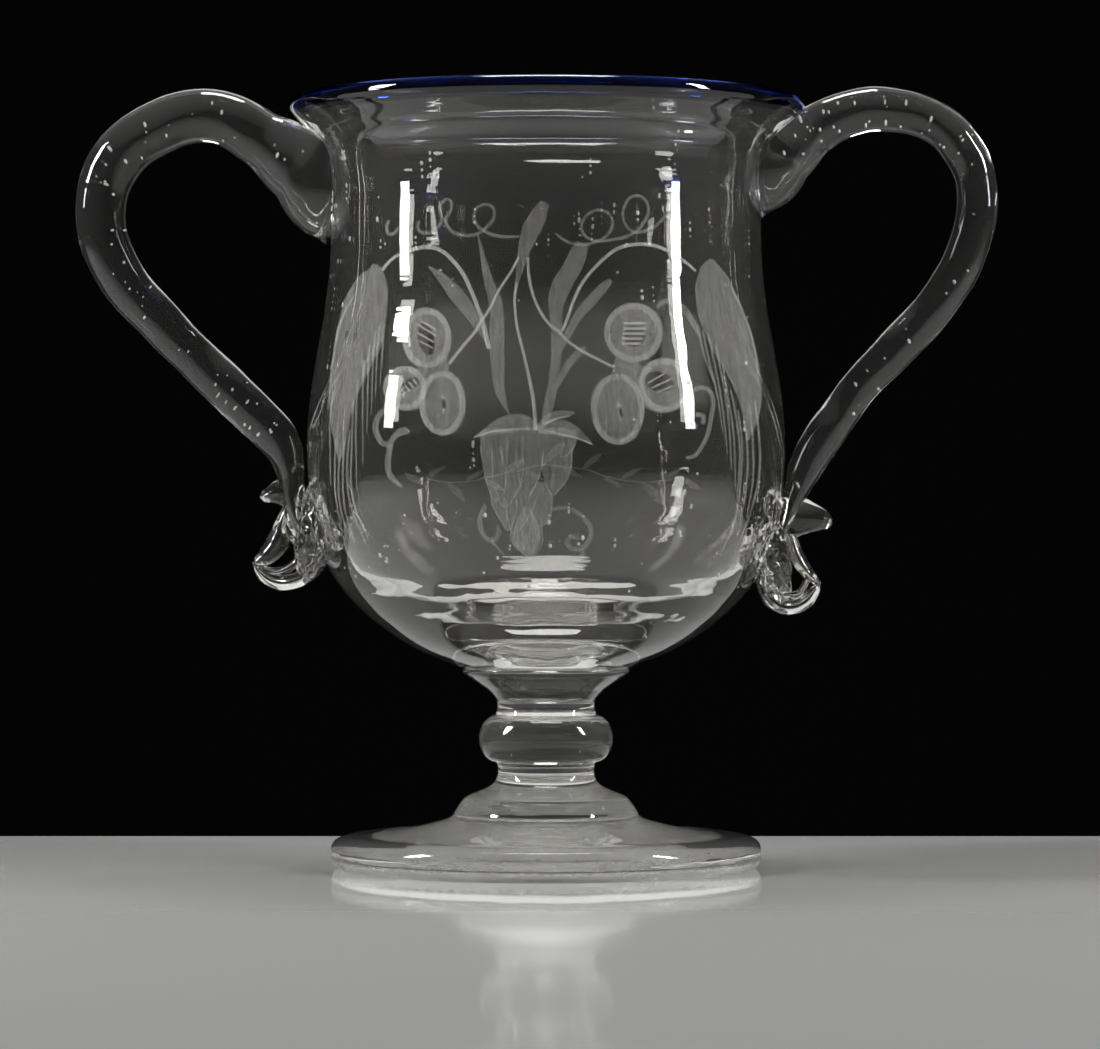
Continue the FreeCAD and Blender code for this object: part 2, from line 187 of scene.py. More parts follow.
def hand_made_glass(name, size, rings, clearness):
    """Old soda glass, a little hazy, with the swell of handwork and the rings of its tools."""
    material, nodes, links, shader = new_material(name)
    shader.inputs["Base Color"].default_value = (0.975, 0.97, 0.94, 1)
    shader.inputs["Transmission Weight"].default_value = clearness
    shader.inputs["Roughness"].default_value = 0.0
    shader.inputs["IOR"].default_value = 1.5
    ripple = nodes.new("ShaderNodeGroup")
    ripple.node_tree = hand_ripple
    ripple.inputs["Size"].default_value = size
    ripple.inputs["Rings"].default_value = rings
    bump = nodes.new("ShaderNodeBump")
    bump.inputs["Strength"].default_value = 0.5
    bump.inputs["Distance"].default_value = 0.0002
    links.new(ripple.outputs["Height"], bump.inputs["Height"])
    links.new(bump.outputs["Normal"], shader.inputs["Normal"])
    return material, nodes, links, shader


blown_glass = hand_made_glass("blown_glass", 70, 0.03, 0.99)[0]
tooled_glass = hand_made_glass("tooled_glass", 90, 0.12, 0.97)[0]
worn_foot_glass, nodes, links, shader = hand_made_glass("worn_foot_glass", 60, 0.1, 0.94)
place = nodes.new("ShaderNodeTexCoord")
level = nodes.new("ShaderNodeSeparateXYZ")
scuffs = nodes.new("ShaderNodeTexNoise")
scuffs.inputs["Scale"].default_value = 420
scuffs.inputs["Detail"].default_value = 6.0
underside = nodes.new("ShaderNodeMapRange")
underside.inputs["From Min"].default_value = 3.2 * mm
underside.inputs["From Max"].default_value = 1.6 * mm
underside.inputs["To Min"].default_value = 0.0
underside.inputs["To Max"].default_value = 0.8
wear = nodes.new("ShaderNodeMath")
wear.operation = "MULTIPLY"
links.new(place.outputs["Object"], level.inputs["Vector"])
links.new(place.outputs["Object"], scuffs.inputs["Vector"])
links.new(level.outputs["Z"], underside.inputs["Value"])
links.new(underside.outputs["Result"], wear.inputs[0])
links.new(scuffs.outputs["Fac"], wear.inputs[1])
links.new(wear.outputs["Value"], shader.inputs["Roughness"])

foot = turned("foot", [
    (0, 2.6), (22, 1.95), (40, 0.35), (44.3, 0, 1), (54.2, 0, 1), (55.3, 1.2), (55.9, 4.1), (55.5, 6.4),
    (54, 7.75), (46.35, 8.82), (35, 10.41), (28.3, 12.0), (25.4, 12.9)])
foot.data.materials.append(worn_foot_glass)
close_joints(foot)
fire_polish(foot)
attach(foot, "root")
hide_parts("foot_disc")

# Tier on the foot: a small gather with a crisp shoulder, dropped on the disc while both are hot.
tier = turned("foot_step", [
    (25.4, 12.9), (24.3, 13.7), (23.5, 15.1), (22.5, 16.6), (21.5, 17.9), (21.1, 18.4), (20.2, 18.9),
    (18, 19.8), (16, 20.6)])
tier.data.materials.append(tooled_glass)
close_joints(tier)
fire_polish(tier)
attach(tier, "root")
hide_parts("foot_tier")

# Stem: a lower waist, a round knop and an upper waist, drawn and pinched from one solid gather.
stem_outlines = {
    "stem_lower_waist": [(16, 20.6), (14.2, 21.6), (12.9, 23.2), (12.5, 25), (12.6, 26.3), (13, 27.4)],
    "stem_knop": [
        (13, 27.4), (15.3, 28.5), (16.9, 30.8), (17.4, 33.65), (16.9, 36.5), (15.3, 38.8), (13, 39.9)],
    "stem_upper_waist": [(13, 39.9), (12.7, 41.2), (12.6, 42.7), (12.8, 43.6), (13.4, 44.4)],
}
for node, outline in stem_outlines.items():
    bit = turned(node.replace("stem", "glass"), outline)
    bit.data.materials.append(tooled_glass)
    close_joints(bit)
    fire_polish(bit)
    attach(bit, "root")
    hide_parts(node)

# Collar: the trumpet-shaped disc that the bowl was set down on, with a thin rounded edge.
collar = turned("collar", [
    (13.4, 44.4), (14.8, 45.9), (17.5, 47.8), (20.3, 49.7), (21.3, 50.4), (21.7, 51.25), (21.5, 51.9),
    (20.8, 52.3)])
collar.data.materials.append(tooled_glass)
close_joints(collar)
fire_polish(collar)
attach(collar, "root")
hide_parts("bowl_collar")

# Bowl: blown clear glass, thick in its floor, drawn in at the throat and flared at the lip.
# Its outer and inner sides are turned apart and joined by the ring under the lip thread.
bowl = turned("glass_bowl", [
    (20.8, 52.3, 1), (22.6, 52.4, 1), (27.34, 54.09), (34.29, 57.2), (41.72, 62), (48.79, 68), (55.19, 75.7),
    (59.53, 86.03), (62.1, 105), (61.6, 119), (59.81, 132), (57.39, 146), (56.27, 155.9), (55.9, 167.05),
    (56.1, 179.3), (57.63, 187.3), (60.47, 190.7), (66.05, 195.55)], 14)
inside = turned("bowl_inside", [
    (63.55, 195.55), (61.2, 194.15), (57.9, 191.9), (55.2, 188.8), (53.9, 184), (53.2, 177), (53.1, 167.05),
    (53.25, 160), (54.02, 150), (55.54, 140), (56.96, 132), (58.69, 120), (59.3, 105), (58.45, 96),
    (56.5, 88), (52.71, 80), (47.4, 74), (42.14, 70), (35.73, 66), (27.9, 63), (14, 61.45), (0, 60.9)], 10)
for side in (bowl, inside):
    side.data.materials.append(blown_glass)
pick_only(bowl)
inside.select_set(True)
bpy.ops.object.join()


lip_height = 195.55
lip_radii = (60, 70)


def bridge_lip(piece):
    """Joins the two open edges under the lip thread with the unseen face of a fused joint."""
    piece.data.materials.append(fused_joint)
    pick_open_edges(piece)
    bpy.ops.object.mode_set(mode="OBJECT")
    points = piece.data.vertices
    for edge in piece.data.edges:
        ends = [points[index].co for index in edge.vertices]
        level = all(abs(end.z - lip_height * mm) < mm / 10 for end in ends)
        near = all(lip_radii[0] * mm < Vector(end[:2]).length < lip_radii[1] * mm for end in ends)
        edge.select = edge.select and level and near
    bpy.ops.object.mode_set(mode="EDIT")
    bpy.ops.mesh.bridge_edge_loops()
    piece.active_material_index = 1
    bpy.ops.object.material_slot_assign()
    bpy.ops.object.mode_set(mode="OBJECT")


bridge_lip(bowl)
close_joints(bowl)

# Lip thread: a bead of deep cobalt blue glass trailed round the lip and melted in.
thread = turned("lip_thread", [
    (63.55, 195.55), (62.75, 196.4), (62.4, 197.6), (63.1, 199.3), (64.8, 200), (66.5, 199.3), (67.2, 197.6),
    (66.85, 196.4), (66.05, 195.55)], 10)
cobalt_trail, nodes, links, shader = new_material("cobalt_trail")
shader.inputs["Base Color"].default_value = (0.006, 0.02, 0.22, 1)
shader.inputs["Transmission Weight"].default_value = 1.0
shader.inputs["Roughness"].default_value = 0.0
shader.inputs["IOR"].default_value = 1.5
thread.data.materials.append(cobalt_trail)
bridge_lip(thread)
face_outwards(thread)
fire_polish(thread)
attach(thread, "root")
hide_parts("rim_thread")

# Handles: each is one rod of clear glass, pressed flat on the throat, looped over by hand, drawn
# down to the belly and stuck there on a crinkled patch. Its end is a strap that curls out and up
# round an eye, and a tongue of it was nipped out with tongs for the thumb. All of it is united
# with the bowl, and then parted into its pieces again along the seams.
rod_points = {
    "left": [
        (-52.7, 178.3, 34, 21), (-58, 179.8, 30, 19.5), (-64.8, 183.6, 21, 16.5),
        (-73.8, 189.3, 15, 14.6), (-86.5, 195.3, 14, 14), (-102.7, 191.5, 14.2, 14),
        (-112.3, 182.9, 14, 13.8), (-115.8, 170.6, 13.2, 13.2), (-111.3, 154.9, 12.4, 12.4),
        (-100.1, 141.7, 12, 12), (-91.8, 133.3, 11.4, 11.6), (-82.7, 124.5, 11.8, 12),
        (-76.2, 118.3, 11.4, 12.2), (-70.6, 112.6, 11, 12.4), (-67.4, 107.5, 9.4, 12.6),
        (-66.4, 103, 7.7, 12.6), (-65.9, 98, 6.8, 12.6),
        (-65, 93, 5.4, 12.6), (-63.3, 88, 4, 12.6), (-61.2, 83.8, 3.6, 12.4), (-60, 80.3, 3.8, 12),
        (-61.8, 76.6, 4.2, 11.6), (-66, 74.4, 4.3, 11.2), (-70.6, 74.6, 4.2, 10.8), (-74, 77, 3.6, 9.6),
        (-75.9, 79.6, 1.2, 7)],
    "right": [
        (52.7, 183.3, 30, 19), (57.5, 184.4, 26, 17.5), (63.2, 187.6, 18.5, 14.5),
        (69.9, 191.9, 13.2, 12.6), (78.3, 195.9, 12.2, 12), (87.1, 197.3, 11.8, 11.8),
        (102.2, 193.2, 10.8, 10.8), (108.9, 185.9, 11, 11), (112, 176.4, 10.7, 10.7),
        (109.6, 160.8, 10.7, 10.7), (103.4, 149, 10.7, 10.7), (91, 134.9, 10.8, 10.8),
        (81.6, 125.1, 9.8, 10.2), (76.8, 118.7, 9.8, 10.4), (73.1, 113.3, 10.2, 10.8),
        (69.7, 108.1, 9.8, 11.2), (67.2, 103.5, 9, 11.4), (65, 98, 6.3, 11.6), (63, 92.5, 5.4, 11.6),
        (60.6, 87, 4.4, 11.6), (58.3, 82, 3.8, 11.4), (56.7, 77.5, 3.6, 11.2), (56.6, 73, 3.8, 11),
        (59, 69.4, 4.2, 10.8), (63, 67.8, 4.4, 10.6), (67.2, 69.2, 4.2, 10.2), (69.8, 72.2, 3, 8.8),
        (71, 74.4, 1, 6.4)],
}
fold_points = {
    "left": [
        [(-75, 79.4, 2.8, 8), (-72.2, 81.4, 5.4, 10), (-69.6, 84.8, 6.4, 10.6),
         (-68.4, 89, 4.6, 10.6), (-67.3, 93.5, 2.8, 10)],
        [(-74.6, 78.2, 2, 8), (-70.6, 77, 2, 9.6), (-66.8, 77.9, 2.3, 10.6), (-64.5, 80.6, 2.4, 10.8),
         (-64.6, 84, 2.4, 10.8), (-66.6, 87.2, 2.4, 10.6), (-67.2, 91, 2.4, 10.2)]],
    "right": [
        [(70.8, 73.9, 1.8, 6.4), (68.4, 76.2, 3.2, 9), (66.4, 79, 4.2, 10), (64.8, 82.2, 4, 10),
         (63.4, 86.4, 3.4, 10)],
        [(68.6, 77, 1.6, 8), (67.2, 73.9, 1.9, 9.4), (65.4, 71.2, 2.2, 10), (62.4, 71.2, 2.2, 10),
         (60.9, 74, 2.2, 10), (61, 78.4, 2.2, 10), (62, 83, 2.4, 10), (63.2, 87, 2.4, 10)]],
}
pinch_points = {
    "left": [(-64.5, 97.8, 11, 9), (-67.8, 97.7, 9.6, 9.4), (-69.8, 97.5, 6.6, 9.6), (-71.8, 97, 4.4, 8.6),
             (-73.5, 96.7, 3.2, 6.4), (-74.3, 96.6, 0.9, 3)],
    "right": [(62, 91.6, 12, 8.6), (66, 91.4, 11, 9), (69, 90.9, 8.2, 9.2), (71.8, 90.2, 6, 8.4),
              (73.6, 89.6, 3.8, 6.2), (74.3, 89.4, 1, 3)],
}
patch_places = {"left": (-58.6, 90.6, 17, 13.2, 14), "right": (56.2, 86, 18.5, 13.2, -17)}
patch_depth = 5.6
patch_crinkles = ((0.55, 2.6), (0.7, 8))
rod_waver = (0.25, 9)
neck_heights = {"left": 103, "right": 98}
pad_knots = 3
rod_fineness = 8
rod_sides = 28
# The bowl's hollow with the inner half of its wall. It is cut from each handle, so that the
# handle's glass ends inside the fused seam.
core_line = [
    (0, 62, 1), (40.4, 62, 1), (47.5, 68), (53.9, 75.7), (58.2, 86), (60.8, 105), (60.3, 119), (58.5, 132),
    (56.1, 146), (55, 155.9), (54.6, 167), (54.8, 179.3), (56.3, 187.3), (59.2, 190.7), (64.7, 195.5, 1),
    (64.7, 206, 1), (0, 206, 1)]
noise.seed_set(21)


def rod(name, points):
    """A round rod through (x, height, thickness, width) points, each ring then spread to its width."""
    pick_only(None)
    bpy.ops.curve.primitive_bezier_curve_add(radius=mm, location=(0, 0, 0))
    line = bpy.context.object
    line.name = name
    line.data.dimensions = "3D"
    line.data.bevel_depth = mm
    line.data.bevel_resolution = rod_sides // 2 - 2
    line.data.resolution_u = rod_fineness
    line.data.twist_mode = "MINIMUM"
    knots = line.data.splines[0].bezier_points
    knots.add(len(points) - len(knots))
    for knot, (x, height, thickness, width) in zip(knots, points):
        knot.co = (x * mm, 0, height * mm)
        knot.radius = thickness / 2
        knot.handle_left_type = "AUTO"
        knot.handle_right_type = "AUTO"
    bpy.ops.object.convert(target="MESH")
    piece = bpy.context.object
    for ring in range(rod_fineness * (len(points) - 1) + 1):
        first = min(ring // rod_fineness, len(points) - 2)
        share = ring / rod_fineness - first
        thickness = points[first][2] + share * (points[first + 1][2] - points[first][2])
        width = points[first][3] + share * (points[first + 1][3] - points[first][3])
        for vertex in piece.data.vertices[ring * rod_sides:(ring + 1) * rod_sides]:
            vertex.co.y *= width / thickness
    close_rings(piece)
    return piece


def wall_radius(height):
    """The bowl's outer radius at a height, measured on its own surface in the front."""
    hit, place, normal, face = bowl_measure.ray_cast(Vector((0, -0.2, height)), Vector((0, 1, 0)))
    return -place.y if hit else 0.0


def worked(piece, amount, size):
    """Leaves the slight unevenness of glass that was shaped by hand."""
    for vertex in piece.data.vertices:
        shift = noise.noise_vector(vertex.co / (size * mm))
        vertex.co += shift * amount * mm


def fuse(piece, other, work="UNION", crossing=True):
    """Unites two closed pieces, or cuts one from the other. Crossing ones may cross themselves."""
    pick_only(piece)
    joint = piece.modifiers.new("fused", "BOOLEAN")
    joint.operation = work
    joint.solver = "EXACT"
    joint.use_self = crossing
    joint.material_mode = "TRANSFER"
    joint.object = other
    bpy.ops.object.modifier_apply(modifier="fused")
    bpy.data.objects.remove(other)


def marked(piece, name):
    """Gives a piece its own material for a while, to find it again after it is fused."""
    material = bpy.data.materials.get(name) or bpy.data.materials.new(name)
    piece.data.materials.clear()
    piece.data.materials.append(material)


pick_only(bowl)
bpy.ops.object.duplicate()
bowl_measure = bpy.context.object
bowl.data.materials[0] = bpy.data.materials.new("glass_bowl")
for hand in ("left", "right"):
    points = rod_points[hand]
    strap = rod(hand + "_rod", points)
    for part in ("pad", "arm", "curl"):
        strap.data.materials.append(bpy.data.materials.new(hand + "_" + part))
    arm_start = pad_knots * rod_fineness
    neck_ring = [point[1] for point in points].index(neck_heights[hand]) * rod_fineness
    for face in strap.data.polygons:
        ring = min(face.vertices) // rod_sides
        face.material_index = 0 if ring < arm_start else 1 if ring < neck_ring else 2
    for fold in fold_points[hand]:
        band = rod(hand + "_fold", fold)
        marked(band, hand + "_curl")
        fuse(strap, band)
    tongue = rod(hand + "_tongue", pinch_points[hand])
    marked(tongue, hand + "_pinch")
    fuse(strap, tongue)
    worked(strap, *rod_waver)
    x, height, tall, wide, turn = patch_places[hand]
    pick_only(None)
    bpy.ops.mesh.primitive_ico_sphere_add(subdivisions=6, radius=1, location=(x * mm, 0, height * mm))
    patch = bpy.context.object
    patch.scale = (patch_depth * mm, wide * mm, tall * mm)
    patch.rotation_euler = (0, math.radians(turn), 0)
    bpy.ops.object.transform_apply(location=True, rotation=True, scale=True)
    for crinkle in patch_crinkles:
        worked(patch, *crinkle)
    marked(patch, hand + "_seal")
    fuse(strap, patch)
    core = turned("wall_core", core_line)
    close_rings(core)
    marked(core, hand + "_pad")
    fuse(strap, core, work="DIFFERENCE", crossing=False)
    fuse(bowl, strap, crossing=False)

pick_only(bowl)
bpy.ops.object.mode_set(mode="EDIT")
bpy.ops.mesh.separate(type="MATERIAL")
bpy.ops.object.mode_set(mode="OBJECT")
stands_for = {
    "left_pad": "left_handle_pad", "left_arm": "left_handle_arm", "left_curl": "left_handle_curl",
    "left_pinch": "left_thumb_pinch", "left_seal": "left_lower_seal",
    "right_pad": "right_handle_pad", "right_arm": "right_handle_arm", "right_curl": "right_handle_curl",
    "right_pinch": "right_thumb_pinch", "right_seal": "right_lower_seal", "glass_bowl": "bowl",
}
fused_pieces = {}
for piece in list(bpy.context.selected_objects):
    used = piece.material_slots[piece.data.polygons[0].material_index].material.name
    fused_pieces[used] = piece
pick_only(fused_pieces["glass_bowl"])
fused_pieces.pop("fused_joint").select_set(True)
bpy.ops.object.join()
for name, node in stands_for.items():
    piece = fused_pieces[name]
    piece.name = name
    if name == "glass_bowl":
        pick_only(piece)
        bpy.ops.object.mode_set(mode="EDIT")
        bpy.ops.mesh.select_all(action="SELECT")
        bpy.ops.mesh.remove_doubles(threshold=weld)
        bpy.ops.object.mode_set(mode="OBJECT")
    for slot in piece.material_slots:
        if slot.material.name != "fused_joint":
            slot.material = blown_glass
    close_joints(piece)
    fire_polish(piece)
    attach(piece, "root")
    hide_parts(node)

# Engraving: hops and barley with their leaves, ground matt into the bowl's front with a wheel.
# Each cut is a list of (x, y, width) places on the photograph's 1100 x 1049 frame. It is drawn on
# an upright sheet as a flattened stroke, and pressed on the wall along the camera's rays.
photo_middle = (546, 537)
sheet_scale = 0.247
sheet_y = -61
camera_place = (1.04, -1228, 86)
skin = 0.035
flattening = 0.2
edge_width = 1.3
rim_inset = 3.5
rim_width = 6
lobe_steps = 16
cut_groups = {
    "barley_leaves": [
        [(478, 234, 1.5), (488, 278, 9), (496, 305, 14), (497, 335, 15), (498, 365, 13.5),
         (500, 390, 10), (504, 402, 6), (509, 414, 1.5)],
        [(428.5, 266, 2), (440, 276, 9), (455.5, 293, 15), (468, 309, 14), (476.5, 323, 9),
         (484, 335, 6), (490, 347, 3)],
        [(545, 202, 9), (539, 215, 17), (532, 228.5, 19), (526.7, 242, 15), (523, 255.5, 11),
         (520, 269, 7), (517, 282.5, 3.5)],
        [(583, 243, 12), (578, 255, 18), (571, 270, 19), (562, 285, 20), (557.6, 297, 18),
         (556, 314, 12), (557, 326, 11), (557.5, 339, 12), (556, 361, 10), (553, 385, 10),
         (549, 405, 10.5), (544, 424, 7)],
        [(611, 280, 5), (603, 288, 10), (591, 301, 11), (579.6, 314, 9.5), (571, 329, 8),
         (565, 340.5, 6), (560.5, 351, 3)],
        [(586, 346, 3), (578, 354, 8), (569, 364, 8), (562, 376, 7), (557.6, 386, 4)],
    ],
    "barley_stems": [
        [(382, 270.5, 3), (391, 260, 3), (403, 252.5, 3.5), (415, 248.7, 4), (428.5, 247, 4),
         (442, 251, 4), (452.4, 260, 4), (463, 273.5, 4), (470.4, 288.5, 4), (476.4, 303.5, 4),
         (482.4, 320, 4.5), (486, 335, 5), (489, 349, 4)],
        [(517, 282.5, 3.2), (515, 296, 2.6), (515.4, 312.5, 2.6), (518.4, 332, 2.8), (523, 350, 3),
         (527.4, 369.5, 3.2), (532.7, 395, 3.4), (535, 414.5, 3.6), (535.7, 430, 3)],
        [(519, 257, 2.2), (511, 272, 2.6), (505, 281, 2.6), (497.5, 293, 2.6), (488.5, 311, 2.8),
         (481, 321.5, 3), (475, 332, 3), (466, 342.5, 3.2), (449.5, 363.5, 3)],
        [(528, 257, 2.4), (529, 275, 3), (532.7, 293, 3), (539.5, 309.5, 3), (550, 324.5, 3),
         (560.5, 333, 3), (569.3, 342, 3), (582.5, 351, 2.8), (599, 359.6, 2.8), (615, 367.6, 2.2)],
        [(562.5, 331, 3), (568, 317, 3), (573.7, 301, 3), (582.5, 283, 3.2), (594, 268.6, 3.2),
         (606, 257, 3.4), (619, 248, 3.6), (634, 244.4, 3.6), (648.6, 244.4, 3.6), (662, 248, 3.4),
         (673, 254, 3.2), (686.7, 262.7, 3), (696, 271, 2.4)],
    ],
    "barley_ears": [
        [(374, 264, 4), (375, 270, 16), (372, 284, 34), (366, 305, 44), (360, 335, 48), (351, 365, 38),
         (343, 395, 27), (340, 425, 18), (340, 447, 10), (339.5, 462, 1.5)],
        [(712, 259, 4), (711, 268, 22), (713, 284, 36), (719, 308, 44), (731, 338, 44), (743, 368, 34),
         (750, 395, 25), (751, 420, 15), (748, 440, 2)],
    ],
    "awns": [
        [(384, 325, 2), (382.7, 350, 2), (380, 386, 1)],
        [(380, 325, 2), (377.5, 350, 2), (375.5, 397, 1)],
        [(376, 330, 2), (373.7, 352, 2), (371.5, 415, 1)],
        [(370, 345, 2), (368.5, 370, 2), (367, 434, 1)],
        [(364, 360, 2), (363, 390, 2), (363, 464, 1)],
        [(358, 380, 2), (356, 415, 2), (357, 490, 1)],
        [(354, 400, 2), (352, 440, 2), (354, 503, 2), (368.5, 538, 1)],
        [(350, 430, 2), (347.5, 460, 2), (350, 502, 2), (367, 546, 1)],
        [(345, 440, 2), (343, 470, 2), (345, 508, 2), (355, 544, 1)],
        [(340, 455, 2), (338.5, 480, 2), (341, 510, 2), (350.5, 538, 1)],
        [(336, 440, 1.6), (335, 470, 1.8), (336.5, 502, 1.8), (342, 524, 1)],
        [(356, 292, 1.6), (341, 322, 2), (333, 360, 2), (328, 410, 1)],
        [(336, 380, 1.6), (331, 410, 1.8), (330, 450, 1.6), (331, 486, 1)],
        [(699, 325, 2), (703, 350, 2), (714.6, 383, 1)],
        [(703, 330, 2), (708, 355, 2), (717, 392, 2), (723.4, 434, 1)],
        [(709, 335, 2), (714, 360, 2), (722, 402, 2), (727.8, 455, 1)],
        [(716, 345, 2), (721, 370, 2), (728, 412, 2), (732, 469, 1)],
        [(723, 365, 2), (728, 395, 2), (734, 435, 2), (735.8, 488, 1)],
        [(731, 390, 2), (736, 415, 2), (740, 446, 2), (736.6, 506, 1)],
        [(738, 410, 2), (742, 440, 2), (741, 480, 2), (735, 521, 2), (722, 552, 1)],
        [(744, 420, 2), (747.5, 445, 2), (746.8, 484, 2), (738, 536, 1)],
        [(750, 405, 2), (753, 440, 2), (753.4, 476, 2), (746.8, 518, 1)],
        [(755, 400, 1.8), (759, 434, 2), (760, 468, 2), (752.7, 506, 2), (733, 558, 1)],
        [(733, 290, 1.6), (746, 318, 2), (755, 350, 2), (759, 384, 1)],
    ],
    "hop_cone": [
        [(484, 430, 10), (490, 446, 19), (494, 466, 21), (496, 480, 20), (497, 492, 14), (498, 500, 6)],
        [(506, 428, 24), (507, 450, 30), (508, 474, 30), (507, 494, 18), (505, 506, 3)],
        [(530, 427, 26), (530, 450, 28), (529, 474, 22), (528, 488, 12), (527, 497, 2)],
        [(554, 428, 26), (556, 450, 32), (557, 466, 29), (556, 480, 22), (554, 490, 10), (554, 495, 3)],
        [(571, 430, 12), (570, 444, 12), (566, 456, 8)],
        [(503, 486, 20), (504, 500, 26), (506, 512, 20), (508, 522, 12), (510, 530, 3)],
        [(522, 484, 20), (521, 500, 30), (519, 514, 24), (516, 526, 12), (514, 533, 2)],
        [(541, 482, 20), (541, 496, 24), (541, 508, 22), (542, 518, 16), (542, 526, 4)],
        [(527, 500, 12), (527, 516, 26), (527, 530, 31), (527, 539, 32), (529, 548, 22),
         (530, 554, 11), (531, 559, 2)],
    ],
    "cone_tip": [
        [(527, 506, 4), (527, 518, 18), (527, 530, 26), (527, 539, 28), (529, 547, 18),
         (530, 553, 8), (531, 557, 1.5)],
    ],
    "cone_leaves": [
        [(536, 430, 8), (526, 423, 15), (512, 423.5, 19), (498, 427, 15), (486, 432.5, 8),
         (474, 437.5, 1.5)],
        [(538, 431, 8), (550, 427, 15), (562, 428, 17), (574, 432, 13), (584, 438, 7), (593, 444.5, 1.5)],
        [(538, 428, 6), (550, 418, 9), (562, 414, 8), (576, 413, 1.5)],
    ],
    "fine_cuts": [
        [(417, 324, 1.6), (437, 336, 1.6)],
        [(421, 321, 1.6), (437, 330, 1.6)],
        [(418, 333, 1.6), (434, 342, 1.6)],
        [(420, 341, 1.6), (433, 348, 1.6)],
        [(402, 389, 1.4), (406, 394, 1.4)],
        [(405, 385, 1.4), (410, 391, 1.4)],
        [(409, 382, 1.4), (414, 388, 1.4)],
        [(413, 379, 1.4), (417, 384, 1.4)],
        [(624, 323, 2.4), (645, 323, 2.4)],
        [(624, 328.5, 2.4), (646, 328.5, 2.4)],
        [(623, 333.5, 2.4), (645, 333.5, 2.4)],
        [(622, 338.5, 2.4), (643, 338.5, 2.4)],
        [(622, 343.5, 2.4), (641, 343.5, 2.4)],
        [(648, 383, 1.6), (664, 374, 1.6)],
        [(652, 388, 1.6), (671, 379, 1.6)],
        [(658, 392, 1.6), (673, 386, 1.6)],
        [(474, 437, 1.2), (488.4, 432.5, 1.8), (502, 430.5, 1.8), (520, 429, 1.2)],
        [(548, 431, 1.2), (560.5, 434, 1.8), (576.7, 438, 1.8), (592, 444, 1.2)],
        [(545, 424, 1), (556, 419, 1.4), (570, 416, 1)],
    ],
    "scrolls": [
        [(389, 220, 3), (387, 230, 3.4), (391, 234, 3.4), (400, 227, 3.4), (412, 219, 3)],
        [(419, 221, 3), (418, 228, 3.2), (425.5, 233.5, 3.4), (434.5, 230, 3.4), (442, 219.5, 3.4),
         (439.7, 210, 3.2), (443.5, 201, 3.2), (449, 199.5, 3.2), (451.5, 209, 3.2), (446, 219, 3.4),
         (449.5, 228.5, 3.4), (463, 235, 3.4), (475, 234.5, 3.4), (487, 227, 3.4), (494.5, 215, 3.4),
         (491, 206, 3), (481, 205.5, 3.2), (474.5, 213, 3.2), (476, 223, 3.4), (485, 231, 3.4),
         (499, 236, 3.4), (519, 236.5, 2.6)],
        [(556, 233.5, 2.6), (564, 240, 3), (577, 244, 3.2), (594, 242.5, 3.2), (607, 235, 3.2),
         (612.5, 222, 3.2), (606, 211.5, 3), (594, 211, 3), (584, 219.5, 3), (582.5, 231, 3.2),
         (593, 240, 3.2), (612, 239.5, 3.2), (631, 234.5, 3.2), (643, 224, 3.2), (648.5, 209, 3),
         (643, 197.5, 3), (632, 196.5, 3), (624.5, 207, 3), (624.5, 222, 3), (634, 231.5, 3.2),
         (650, 229, 3.2), (660, 222, 3.2), (669, 210.5, 2.4)],
        [(386, 408, 5), (377, 420, 6), (377, 434, 6), (388, 444.5, 6), (395, 436, 6), (405, 431, 8),
         (409, 433, 4)],
        [(391, 445, 6), (388, 460, 6), (391, 476, 6), (402, 487, 3)],
        [(486, 505, 4.5), (480.5, 518, 5), (482.5, 532, 5), (491, 540, 5), (498.5, 535, 5),
         (497.5, 526, 3)],
        [(491, 540, 3), (498, 548, 2.6), (505, 556, 1.6)],
        [(553, 510, 3.4), (562, 507.5, 4), (572, 509.5, 4.2), (583, 517, 4.4), (591, 529, 5),
         (590, 539, 5), (581, 548.5, 5), (572, 548, 5), (567.5, 542, 4.6), (572, 536.5, 4.4),
         (579, 539, 3)],
        [(581, 548.5, 4), (583, 555, 4.6), (575, 560, 4.6), (566, 559, 3)],
        [(692, 393, 4), (698.5, 388, 4.4), (708.5, 390, 4.4), (713.5, 400, 4.4), (711.5, 416, 4.4),
         (708.5, 432, 4.2), (702.5, 445.5, 4.2), (695.5, 455.5, 4), (686.5, 458, 3)],
        [(702, 424, 4), (704, 417.5, 4.6), (697, 414.5, 4.6), (690, 418, 4.6), (690.5, 424.5, 4.6),
         (698, 426.5, 4)],
        [(657, 307, 4), (667.5, 301, 6.4), (680.5, 306, 6.6), (692, 320, 6), (700, 337, 3)],
    ],
}
lobe_shapes = {
    "left_trefoil": [
        ((427, 338, 25, 30.5), (426, 339, 8, 17, -16)), ((405, 388, 22, 22.5), (410.5, 385, 12, 6.5, -30)),
        ((442.5, 403, 23.5, 33), (444, 404, 2, 4.5, -30))],
    "right_trefoil": [
        ((633.5, 332.5, 29.5, 30), (635, 336, 11, 11.5, 20)),
        ((665, 385, 27, 27.5), (659, 382.5, 15.5, 10, 14)),
        ((618, 409, 27, 36), (621, 413.5, 1.8, 6, -38))],
}
lobe_bridges = {
    "left_trefoil": [
        [(441, 352, 14), (439, 368, 20), (443, 384, 20)], [(416, 374, 10), (428, 370, 12), (440, 370, 12)]],
    "right_trefoil": [
        [(628, 352, 22), (626, 368, 26), (622, 384, 24)], [(644, 378, 16), (634, 370, 16), (624, 369, 14)]],
}


